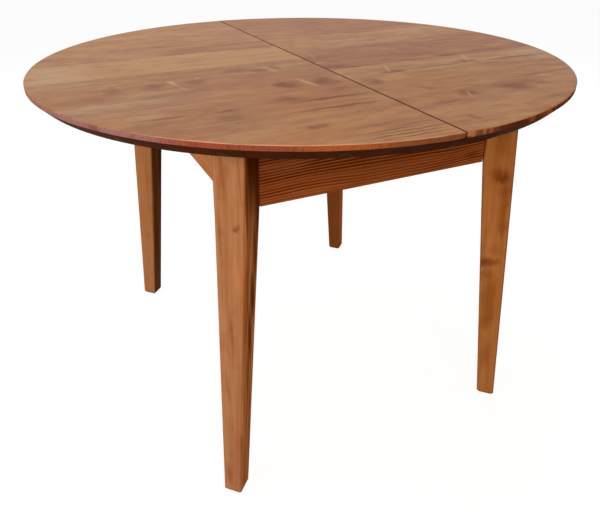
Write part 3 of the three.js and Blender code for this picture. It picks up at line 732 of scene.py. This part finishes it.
def smudged(tree, place, half, seed, colour):
    """Dark stained places with ragged, wandering outlines."""
    ragged = noise(scaled(tree, place, 26, 6, 6, seed + 12), 3.0, 0.6) * 1.5 + 0.30
    sway = noise(scaled(tree, place, 44, 44, 44, seed + 14), 2.0) - 0.5
    drift = noise(scaled(tree, place, 30, 30, 30, seed + 16), 2.0) - 0.5
    blurred = (place[0] + sway * 60, place[1] + drift * 12)
    smudge = None
    for x, y, half_x, half_y, strength in SMUDGES[half]:
        spot = ellipse(blurred, (x, y), (half_x, half_y), 0.0, 0.12) * strength
        smudge = spot if smudge is None else smudge.max(spot)
    return blend(tree, (smudge * ragged).clamp(), colour, SMUDGE)


def ghosted(tree, place, half, colour):
    """Pale marks: bright across a knot, the wide ones only a lighter stain."""
    for x, y, half_x, half_y, lean, strength in GHOSTS[half]:
        spot = ellipse(place, (x, y), (half_x, half_y), lean, 0.2) * (strength * 0.85)
        colour = blend(tree, spot, colour, FLASH if half_x < NARROW_GHOST else TOP_PALE)
    return colour


def edged(tree, place, half, lip, mottle, colour):
    """A half's arris with a painted highlight, its bevel darkened with painted shade, its
    underside, and painted shade with some dirt along the seam out to its lip.
    """
    side, _, upward = object_normal(tree)
    # A painted highlight along the front arris, fading out towards the left.
    arris = upward.smooth(0.35, 0.60) * upward.smooth(0.98, 0.92)
    arris = arris * place[1].smooth(-60, -240) * place[0].smooth(-480, -330)
    colour = blend(tree, arris * ARRIS_HIGHLIGHT_STRENGTH[half], colour, ARRIS_HIGHLIGHT)
    # The bevel is darker than its stain: painted shade, mottled between two tones.
    bevel = blend(tree, mottle * 0.8, BEVEL_STAIN_AND_SHADE, BEVEL_STAIN_AND_SHADE_MOTTLE)
    colour = blend(tree, upward.smooth(-0.3, -0.6) * 0.95, colour, bevel)
    colour = blend(tree, upward.smooth(-0.85, -0.95) * 0.9, colour, UNDERSIDE)
    # Along the seam: painted shade of the gap, with some dirt, on the face and rim out to the lip,
    # and on the mating faces just below the top.
    mating = side.math("ABSOLUTE").smooth(0.75, 0.90)
    near_seam = place[0].math("ABSOLUTE").smooth(lip, lip - LIP_BLUR)
    shown = (mating * -1.0 + 1.0).max(place[2].smooth(*GAP_SHADE_FADE))
    return blend(tree, near_seam * shown, colour, SEAM_SHADE_AND_DIRT)


def top_pine(name, half, coat):
    """Glued boards of one half of the top or of the leaf: face, rim and underside."""
    material, tree, shader = new_material(name)
    place = object_place(tree)
    seed = TOP_SEEDS[half]
    starts, tones, reds, piths = zip(*BOARDS[half])
    board = stepped(place[1], starts, list(range(len(starts))))
    tone = stepped(place[1], starts, tones)
    red = stepped(place[1], starts, reds)
    pith = stepped(place[1], starts, piths)
    shifted = [place[0] + board * BOARD_SHIFT, place[1], place[2]]
    ringed = [shifted[0], place[1] - pith, place[2]]
    late = growth_rings(tree, ringed, TOP_PITH, 4.6, 22.0, seed, knot_bulge(place, half))
    broad = streaks(tree, shifted, 170, 24, seed + 2, 0.25, 0.75)
    narrow = streaks(tree, shifted, 110, 6, seed + 4, 0.35, 0.75)
    cloud = streaks(tree, shifted, 110, 52, seed + 6, 0.30, 0.70)
    mottle = streaks(tree, shifted, 34, 22, seed + 10, 0.30, 0.75)
    thread = fibre(tree, shifted, seed + 8)

    hue = red * 0.85 + (cloud - 0.5) * 0.55 + (mottle - 0.5) * 0.30 + 0.15
    colour = blend(tree, hue.clamp(), TOP_PALE, TOP_WARM)
    for x, y, half_x, half_y, strength, tint in SHADES[half]:
        colour = blend(tree, ellipse(place, (x, y), (half_x, half_y)) * strength, colour, tint)
    deep = tone * 0.85 + (broad - 0.5) * 0.38 + (narrow - 0.5) * 0.22 + (thread - 0.5) * 0.22
    deep = deep + (mottle - 0.5) * 0.14 + late * 0.16 - 0.10
    colour = blend(tree, deep.clamp(), colour, TOP_DARK)
    colour = smudged(tree, place, half, seed, colour)
    colour = ghosted(tree, place, half, colour)
    colour = blend(tree, rim_share(tree), colour, rim_colour(tree, place, half, late, seed))
    if half in ARRIS_HIGHLIGHT_STRENGTH:
        lip = FACE_LIP if coat else RIM_LIP
        colour = edged(tree, place, half, lip, mottle, colour)
    roughness = late * -0.06 + thread * 0.10 + 0.44
    finish_wood(tree, shader, colour, late * 0.5 + thread * 0.5, roughness, coat)
    return material


def rim_share(tree):
    """1 on the rim's band, 0 on the face and on the bevel underneath."""
    return object_normal(tree)[2].math("ABSOLUTE").smooth(0.62, 0.35)


def rim_colour(tree, place, half, late, seed):
    """End grain drinks more stain: redder, with ticks where the rings come out, and greyer far
    from the seam, a painted sheen.
    """
    turn = place[1].math("ARCTAN2", place[0])
    around = [turn * TOP_RADIUS, place[2], place[2]]
    ticks = noise(scaled(tree, around, 1.7, 30, 30, seed), 1.0).smooth(0.35, 0.7)
    patches = noise(scaled(tree, around, 26, 60, 60, seed + 2), 2.0, 0.6)
    reach = place[0].math("ABSOLUTE")
    colour = END_RED
    for tint, start, full in RIM_TONES:
        colour = blend(tree, reach.smooth(start, full), colour, tint)
    if half == "right":
        colour = blend(tree, reach.smooth(110, 10), colour, END_PALE)
        stained = patches.smooth(0.30, 0.52) * place[0].smooth(25, 70)
        for middle, half_width in RIM_BLOTS:
            blot = (place[0] - middle).math("ABSOLUTE").smooth(half_width, half_width * 0.3)
            stained = stained.max(blot * 0.85)
        colour = blend(tree, stained * 0.85, colour, END_DARK)
    else:
        colour = blend(tree, patches.smooth(0.55, 0.75) * 0.4, colour, END_DARK)
    return blend(tree, (ticks * 0.26 + late * 0.16).clamp(), colour, END_DARK)


# ---------------------------------------------------------------- plain materials

FELT_ROUGHNESS = 0.95
FELT_DEPTH = 0.0005              # m


def beech():
    material, tree, shader = new_material("beech")
    place = object_place(tree)
    fleck = noise(scaled(tree, place, 3.2, 0.5, 0.5, 4.0), 1.0).smooth(0.58, 0.72)
    broad = streaks(tree, place, 240, 14, 6.0)
    thread = fibre(tree, place, 8.0)
    colour = blend(tree, broad, (0.62, 0.41, 0.22), (0.52, 0.31, 0.15))
    colour = blend(tree, fleck * 0.45, colour, (0.30, 0.15, 0.06))
    colour = blend(tree, (thread - 0.4).clamp() * 0.4, colour, (0.36, 0.20, 0.09))
    finish_wood(tree, shader, colour, thread, thread * 0.12 + 0.48, BEECH_COAT)
    return material


def nylon():
    material, tree, shader = new_material("nylon")
    place = object_place(tree)
    mottle = noise(scaled(tree, place, 6, 6, 6), 2.0)
    colour = blend(tree, mottle, (0.045, 0.045, 0.048), (0.075, 0.075, 0.080))
    colour.to(shader.inputs["Base Color"])
    (mottle * 0.18 + 0.34).to(shader.inputs["Roughness"])
    return material


def zinc():
    material, tree, shader = new_material("zinc_steel")
    place = object_place(tree)
    spangle = noise(scaled(tree, place, 5, 5, 5), 3.0, 0.6)
    brushed = noise(scaled(tree, place, 30, 0.6, 0.6), 2.0)
    colour = blend(tree, spangle, (0.50, 0.51, 0.52), (0.68, 0.68, 0.67))
    colour.to(shader.inputs["Base Color"])
    shader.inputs["Metallic"].default_value = 1.0
    (spangle * 0.14 + brushed * 0.10 + 0.26).to(shader.inputs["Roughness"])
    return material


def felt():
    material, tree, shader = new_material("felt")
    place = object_place(tree)
    fuzz = noise(scaled(tree, place, 0.7, 0.7, 0.7), 3.0, 0.7)
    blend(tree, fuzz, (0.055, 0.045, 0.038), (0.13, 0.11, 0.095)).to(shader.inputs["Base Color"])
    shader.inputs["Roughness"].default_value = FELT_ROUGHNESS
    bump = tree.nodes.new("ShaderNodeBump")
    bump.inputs["Distance"].default_value = FELT_DEPTH
    fuzz.to(bump.inputs["Height"])
    tree.links.new(bump.outputs[0], shader.inputs["Normal"])
    return material


MATERIALS = {"beech": beech(), "nylon": nylon(), "steel": zinc(), "felt": felt()}

# ---------------------------------------------------------------- softened wooden pieces

SHARP_ANGLE = math.radians(38)   # an edge that turns more than this is eased
SMOOTH_ANGLE = math.radians(40)  # and one that turns less than this is shaded smoothly
FLAT_ANGLE = math.radians(0.6)   # and less than this, it is no edge
SAME_POINT = 2e-6                # m
EASED = 0.0010                   # m, radius of the edges of aprons, legs, rails and blocks
EASED_BEECH = 0.0008
EASED_LEAF = 0.0006
EASED_FOOT = 0.0028              # the lower edges of a foot are worn
FOOT_TOP = 0.004                 # m, edges below it are the foot's own
FACE_UP = 0.9                    # a normal's z, above it a polygon is the top's face


def merged_copy(node, name):
    """The CAD node's mesh with its corners shared and its flat faces whole, open for editing."""
    mesh = frame["nodes"][node].data.copy()
    mesh.name = name
    work = bmesh.new()
    work.from_mesh(mesh)
    bmesh.ops.remove_doubles(work, verts=work.verts, dist=SAME_POINT)
    bmesh.ops.dissolve_limit(work, angle_limit=FLAT_ANGLE, verts=work.verts, edges=work.edges)
    return mesh, work


def sharp_edges(work):
    return [
        edge for edge in work.edges
        if len(edge.link_faces) == 2 and edge.calc_face_angle(0.0) > SHARP_ANGLE
    ]


def ease(work, edges, radius):
    bmesh.ops.bevel(
        work, geom=edges, offset=radius, segments=3,
        profile=0.5, affect="EDGES", clamp_overlap=True,
    )


def softened(node, radius, foot_radius=0.0):
    """A copy of a CAD node with eased edges, riding in its place; radii in metres."""
    mesh, work = merged_copy(node, node + "_soft")
    if foot_radius:
        foot = [edge for edge in sharp_edges(work) if max(v.co.z for v in edge.verts) < FOOT_TOP]
        ease(work, foot, foot_radius)
    if radius:
        ease(work, sharp_edges(work), radius)
    bmesh.ops.triangulate(work, faces=[face for face in work.faces if len(face.verts) > 4])
    work.to_mesh(mesh)
    work.free()
    mesh.materials.clear()
    mesh.shade_smooth()
    mesh.set_sharp_from_angle(angle=SMOOTH_ANGLE)
    piece = bpy.data.objects.new(node + "_soft", mesh)
    bpy.context.scene.collection.objects.link(piece)
    even = piece.modifiers.new("even_normals", "WEIGHTED_NORMAL")
    even.keep_sharp = True
    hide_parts(node)
    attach(piece, body_of[node])
    return piece


def dress_top(half):
    """A half top: its face takes the varnished material, its rim and underside the bare one."""
    piece = softened(f"top_{half}", 0.0)
    piece.data.materials.append(top_pine(f"pine_top_{half}", half, TOP_COAT))
    piece.data.materials.append(top_pine(f"pine_rim_{half}", half, 0.0))
    for polygon in piece.data.polygons:
        polygon.material_index = 0 if polygon.normal.z > FACE_UP else 1


# The front and back aprons: tones, the strip with the strongest lines, and marks, one of them
# painted shadow (x, height, half length, half height, lean, strength, colour).
APRON_TONES = ((0.45, 0.134, 0.037), (0.39, 0.110, 0.028))
APRON_BAND = (628, 690)
APRON_MARKS_AND_SHADE = (
    # The first mark darkens the aprons' top strip under the table top: painted shadow.
    (0, 716, 420, 22, 0.0, 0.60, DEEP), (-60, 606, 300, 14, 0.0, 0.22, GOLD),
    (110, 640, 60, 8, 0.0, 0.35, DEEP), (205, 612, 24, 12, 0.0, 0.45, DEEP),
    (-190, 655, 60, 20, 0.0, 0.20, PALE), (170, 668, 60, 10, 0.0, 0.25, PALE),
    (0, 622, 190, 44, 0.0, 0.16, DARK),
)
END_APRON_TONES = ((0.62, 0.245, 0.090), (0.60, 0.215, 0.075))


def wood_looks():
    """Material and edge radii of each wooden node but the half tops and the seam pins."""
    long_apron = board_pine(
        "pine_apron_long", "X", pith=(1400.0, -420.0), spacing=5.4, contrast=1.3, seed=11.0,
        tones=APRON_TONES, marks=APRON_MARKS_AND_SHADE, band=APRON_BAND,
    )
    end_apron = board_pine(
        "pine_apron_end", "Y", pith=(1500.0, -300.0), spacing=5.0, contrast=0.35, seed=17.0,
        tones=END_APRON_TONES,
    )
    rail = board_pine(
        "pine_rail", "Y", pith=(580.0, 20.0), spacing=4.4, contrast=0.35, seed=41.0,
        tones=(WARM, GOLD),
    )
    leaf = top_pine("pine_leaf", "leaf", TOP_COAT)
    looks = {}
    for node, slot in slot_of.items():
        if node.startswith("leaf_panel"):
            looks[node] = (leaf, EASED_LEAF)
        elif slot == "beech" and not node.startswith("seam_pin"):
            looks[node] = (MATERIALS["beech"], EASED_BEECH)
        elif slot == "pine_frame":
            looks[node] = (rail, EASED)
    for side in ("front", "back"):
        looks[f"apron_{side}"] = (long_apron, EASED)
    for side in ("left", "right"):
        looks[f"apron_{side}"] = (end_apron, EASED)
    for corner, look in LEG_LOOKS.items():
        looks[f"leg_{corner}"] = (leg_pine(corner, look), EASED, EASED_FOOT)
    return looks


def dress_table():
    dress_top("left")
    dress_top("right")
    for node, (material, *radii) in wood_looks().items():
        softened(node, *radii).data.materials.append(material)
    for node, slot in slot_of.items():
        if slot in ("nylon", "steel", "felt") or node.startswith("seam_pin"):
            paint(frame["nodes"][node], MATERIALS[slot])


def paint(piece, material):
    piece.data.materials.clear()
    piece.data.materials.append(material)


# ---------------------------------------------------------------- screws

SINK = 2.0                       # mm of the head's cone inside the wood
HEAD_SMOOTH_ANGLE = math.radians(35)
DOWN = (0, 0, -1)

# Radius of a head and how far it stands proud, and where it sits, in mm.
RUNNER_SCREW = (3.2, 0.3)
RUNNER_SCREW_INSET = 4.1         # from the runner's side away from its guide rail
RUNNER_SCREW_SHARES = (0.14, 0.5, 0.86)
BATTEN_SCREW = (4.4, 0.5)
BATTEN_SCREW_PLACES = (-190, 0, 190)
KEEPER_SCREW = (2.4, 0.15)
KEEPER_SCREW_PLACES = (-12.7, 12.7)
KEEPER_PLATE = 2.0               # thickness of the keeper's plate
BLOCK_SCREW = (4.0, 0.5)
BLOCK_SCREW_INSET = 27.5         # middle of the block's slanting face, from its inner sides
BLOCK_SCREW_PLACES = (-19.5, 19.5)


def screw_head(work, place, outward, radius, proud):
    """A countersunk head with a cross recess, its axis along outward; places in mm."""
    arm, slot, depth = radius * 0.62, radius * 0.17, radius * 0.35
    cross = [(arm, slot), (slot, slot), (slot, arm)]
    outline = []
    for c, s in ((1, 0), (0, 1), (-1, 0), (0, -1)):
        outline += [(x * c - y * s, x * s + y * c) for x, y in cross]
    angles = [math.atan2(y, x) for x, y in outline]
    rounds = ((radius * 0.55, -SINK), (radius, 0.0), (radius * 0.92, proud))
    levels = [[(r * math.cos(a), r * math.sin(a), z) for a in angles] for r, z in rounds]
    levels.append([(x, y, proud) for x, y in outline])
    levels.append([(x * 0.8, y * 0.8, proud - depth) for x, y in outline])
    turn = Vector(outward).to_track_quat("Z", "Y").to_matrix()
    rings = [
        [work.verts.new((turn @ Vector(point) + Vector(place)) * MM) for point in level]
        for level in levels
    ]
    count = len(outline)
    for low, high in zip(rings, rings[1:]):
        for k in range(count):
            work.faces.new((low[k], low[(k + 1) % count], high[(k + 1) % count], high[k]))
    work.faces.new(list(reversed(rings[0])))
    work.faces.new(rings[-1])


def screw_set(name, body, heads):
    """One piece holding all the screw heads of a body: (place, outward, radius, proud)."""
    mesh = bpy.data.meshes.new(name)
    work = bmesh.new()
    for place, outward, radius, proud in heads:
        screw_head(work, place, outward, radius, proud)
    bmesh.ops.triangulate(work, faces=[face for face in work.faces if len(face.verts) > 4])
    work.to_mesh(mesh)
    work.free()
    mesh.shade_smooth()
    mesh.set_sharp_from_angle(angle=HEAD_SMOOTH_ANGLE)
    mesh.materials.append(MATERIALS["steel"])
    piece = bpy.data.objects.new(name, mesh)
    bpy.context.scene.collection.objects.link(piece)
    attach(piece, body)


def box_mm(node):
    """Low and high corner of a CAD node at rest, in mm."""
    return [[value / MM for value in corner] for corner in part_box(node)]


def runner_screws(name):
    """Heads under the runners of one half, along the side away from the guide rail."""
    heads = []
    for lane, side in (("inner", "back"), ("outer", "front")):
        guide = sum(corner[1] for corner in box_mm(f"guide_rail_{side}")) / 2
        guide = guide if name == "right" else -guide
        low, high = box_mm(f"runner_{name}_{lane}")
        edge = max(low[1], high[1], key=lambda y: abs(y - guide))
        y = edge + math.copysign(RUNNER_SCREW_INSET, guide - edge)
        for share in RUNNER_SCREW_SHARES:
            heads.append(((low[0] + (high[0] - low[0]) * share, y, low[2]), DOWN, *RUNNER_SCREW))
    return heads


def half_screws(name):
    """Heads under the runners, the batten and the keepers of one half."""
    heads = runner_screws(name)
    low, high = box_mm(f"batten_{name}")
    x = (low[0] + high[0]) / 2
    heads += [((x, y, low[2]), DOWN, *BATTEN_SCREW) for y in BATTEN_SCREW_PLACES]
    if name == "right":
        for side in ("front", "back"):
            low, high = box_mm(f"catch_keeper_{side}")
            x, middle = (low[0] + high[0]) / 2, (low[1] + high[1]) / 2
            z = high[2] - KEEPER_PLATE
            heads += [((x, middle + y, z), DOWN, *KEEPER_SCREW) for y in KEEPER_SCREW_PLACES]
    return heads


def block_screws():
    """Two heads on the slanting face of each corner block, driven towards the aprons."""
    heads = []
    for side_y, sign_y in (("front", -1), ("back", 1)):
        for side_x, sign_x in (("left", -1), ("right", 1)):
            low, high = box_mm(f"corner_block_{side_y}_{side_x}")
            x = sign_x * (min(abs(low[0]), abs(high[0])) + BLOCK_SCREW_INSET)
            y = sign_y * (min(abs(low[1]), abs(high[1])) + BLOCK_SCREW_INSET)
            z = (low[2] + high[2]) / 2
            inward = (-sign_x, -sign_y, 0)
            for away in BLOCK_SCREW_PLACES:
                place = (x + sign_x * away, y - sign_y * away, z)
                heads.append((place, inward, *BLOCK_SCREW))
    return heads


# ---------------------------------------------------------------- the scene

bpy.context.scene.view_settings.view_transform = "Standard"
make_camera()
make_world()
make_floor()
for lamp_name, lamp in LAMPS.items():
    area_light(lamp_name, *lamp)
dress_table()
screw_set("screws_left", "left_half", half_screws("left"))
screw_set("screws_right", "right_half", half_screws("right"))
screw_set("screws_frame", "frame", block_screws())
